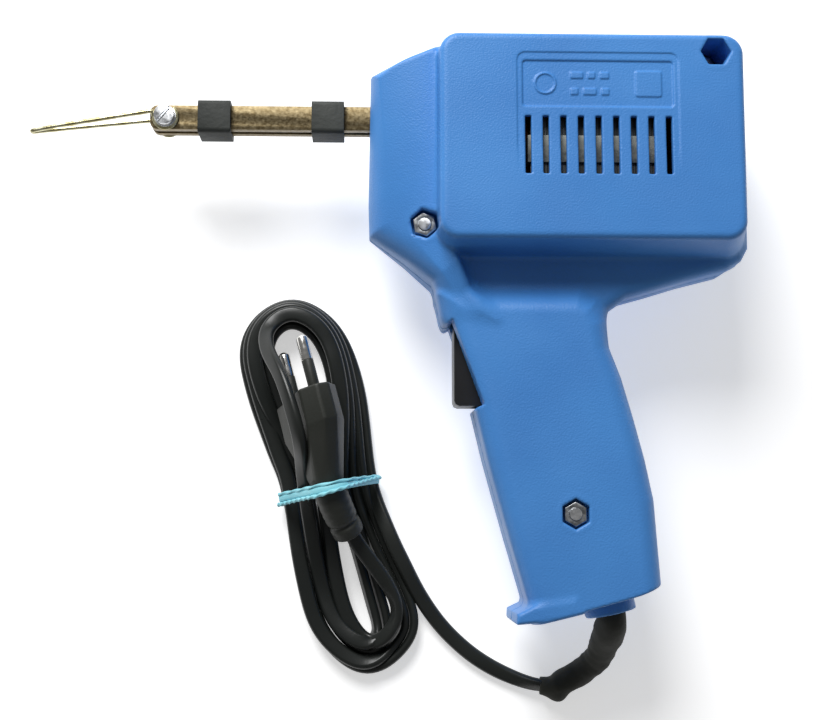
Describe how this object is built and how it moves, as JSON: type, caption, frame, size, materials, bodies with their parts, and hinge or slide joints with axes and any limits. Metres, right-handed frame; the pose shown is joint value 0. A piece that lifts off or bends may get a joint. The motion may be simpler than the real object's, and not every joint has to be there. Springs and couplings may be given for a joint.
{
  "type": "transformer soldering gun",
  "caption": "Pistol-grip transformer soldering gun with a wire tip on two copper bars, trigger, two-shell plastic housing and a hanked mains cord with a flat two-pin plug.",
  "frame": {"origin": "middle of the gun's footprint (cord, sleeve, plug and band left out) on the surface that it lies on, which is the outer face of the far shell", "axes": "gun lying on its far side: +Z across the thickness, up from the surface; +X from the soldering tip to the back of the housing; +Y from the grip's lower end up to the housing"},
  "size_m": [0.242, 0.2194, 0.06],
  "materials": {
    "blue_shell": "fine spark-eroded grain, satin",
    "zinc_steel": "zinc plated",
    "tarnished_copper": "tarnished, nickel showing at the edges",
    "black_rubber": "matt",
    "pressboard": "matt",
    "tinned_wire": "tinned",
    "core_steel": "laminated, oxide grey",
    "black_plastic": "satin",
    "enamel_copper": "enamelled wire",
    "brown_plastic": "satin",
    "ivory_plastic": "satin",
    "contact_brass": "bright",
    "cord_pvc": "soft gloss",
    "plug_pvc": "satin",
    "nickel_brass": "nickel plated",
    "turquoise_rubber": "matt"
  },
  "bodies": {
    "root": {"shell_near": "blue_shell", "shell_far": "blue_shell", "case_bolts": "zinc_steel", "case_nuts": "zinc_steel", "secondary_loop": "tarnished_copper", "bar_sleeve_front": "black_rubber", "bar_sleeve_rear": "black_rubber", "bar_spacer": "pressboard", "clamp_screws": "zinc_steel", "clamp_washers": "tinned_wire", "soldering_tip": "tinned_wire", "core_e_stack": "core_steel", "core_i_stack": "core_steel", "core_straps": "zinc_steel", "coil_bobbin": "black_plastic", "primary_winding": "enamel_copper", "trigger_pin": "zinc_steel", "switch_body": "brown_plastic", "switch_cover": "brown_plastic", "switch_spring": "zinc_steel", "fixed_contacts": "contact_brass", "lead_wires": "cord_pvc", "cord_clamp": "black_plastic", "cord_clamp_screws": "zinc_steel", "cord_inner_end": "cord_pvc", "bend_sleeve": "black_rubber", "cord_lead": "cord_pvc", "cord_hank": "cord_pvc", "plug_body": "plug_pvc", "plug_pins": "nickel_brass", "pin_sleeves": "plug_pvc", "rubber_band": "turquoise_rubber"},
    "trigger": {"trigger": "black_plastic"},
    "plunger": {"switch_plunger": "ivory_plastic", "moving_contact": "contact_brass"}
  },
  "joints": [
    {"name": "trigger_hinge", "type": "hinge", "parent": "root", "child": "trigger", "pos_m": [0.027, 0.006, 0.03], "axis": [0, 0, 1], "range_deg": [0, 10], "stiffness_Nm_per_rad": 0.4, "springref_deg": -5.73},
    {"name": "plunger_slide", "type": "slide", "parent": "root", "child": "plunger", "axis": [1, 0, 0], "range_m": [0, 0.00436], "deforming": ["switch_spring"]}
  ],
  "couplings": [
    {"joint": "plunger_slide", "follows": "trigger_hinge", "m_per_rad": 0.02441}
  ]
}
